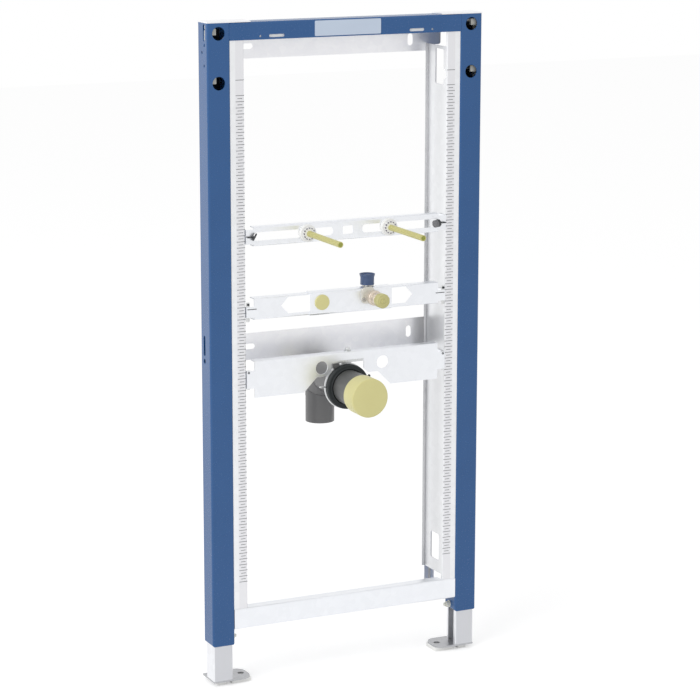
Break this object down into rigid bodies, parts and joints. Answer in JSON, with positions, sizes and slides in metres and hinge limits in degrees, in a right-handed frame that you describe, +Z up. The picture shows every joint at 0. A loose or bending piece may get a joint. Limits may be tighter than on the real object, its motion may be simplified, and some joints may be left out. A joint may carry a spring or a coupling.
{
  "type": "urinal installation frame",
  "caption": "Upright installation frame for a wall-hung urinal: painted posts and beam, galvanised scale rails, sliding cross rails with fixing rods, water supply and drain bend.",
  "frame": {"origin": "on the floor, below the middle of the overall box", "axes": "+Z up, -Y to the front where the urinal hangs, +X to the right seen from the front"},
  "size_m": [0.5, 0.2664, 1.12],
  "materials": {
    "blue_paint": "satin powder coat",
    "galvanised": "galvanised sheet",
    "label_plate": "printed plate",
    "pale_plastic": "moulded",
    "yellow_plastic": "moulded",
    "dark_plastic": "moulded",
    "plated_brass": "plated",
    "blue_plastic": "moulded",
    "black_rubber": "moulded",
    "grey_pipe": "moulded"
  },
  "bodies": {
    "frame": {"left_post": "blue_paint", "right_post": "blue_paint", "top_beam": "blue_paint", "size_label": "label_plate", "left_corner_bracket": "galvanised", "right_corner_bracket": "galvanised", "left_scale_rail": "galvanised", "right_scale_rail": "galvanised", "top_wall_plate": "galvanised", "lower_wall_plate": "galvanised", "bottom_rail": "galvanised", "left_gusset": "galvanised", "right_gusset": "galvanised"},
    "left_foot": {"left_leg": "galvanised", "left_foot_plate": "galvanised", "left_foot_pads": "pale_plastic"},
    "right_foot": {"right_leg": "galvanised", "right_foot_plate": "galvanised", "right_foot_pads": "pale_plastic"},
    "fixing": {"fixing_rail": "galvanised", "left_rod_boss": "galvanised", "right_rod_boss": "galvanised", "left_rod_sleeve": "yellow_plastic", "right_rod_sleeve": "yellow_plastic", "left_fixing_clip": "dark_plastic", "right_fixing_clip": "dark_plastic"},
    "supply": {"supply_rail": "galvanised", "supply_saddle": "galvanised", "blind_plug": "yellow_plastic", "supply_elbow": "plated_brass", "inlet_cap": "blue_plastic", "outlet_cap": "yellow_plastic"},
    "drain": {"drain_plate": "galvanised", "pipe_clamp": "galvanised", "drain_collar": "black_rubber", "drain_bend": "grey_pipe", "drain_socket": "grey_pipe", "drain_cap": "yellow_plastic"}
  },
  "joints": [
    {"name": "left_foot_slide", "type": "slide", "parent": "frame", "child": "left_foot", "axis": [0, 0, -1], "range_m": [0, 0.18]},
    {"name": "right_foot_slide", "type": "slide", "parent": "frame", "child": "right_foot", "axis": [0, 0, -1], "range_m": [0, 0.18]},
    {"name": "fixing_slide", "type": "slide", "parent": "frame", "child": "fixing", "axis": [0, 0, 1], "range_m": [-0.03, 0.25]},
    {"name": "supply_slide", "type": "slide", "parent": "frame", "child": "supply", "axis": [0, 0, 1], "range_m": [-0.045, 0.025]},
    {"name": "drain_slide", "type": "slide", "parent": "frame", "child": "drain", "axis": [0, 0, 1], "range_m": [-0.25, 0.015]}
  ]
}
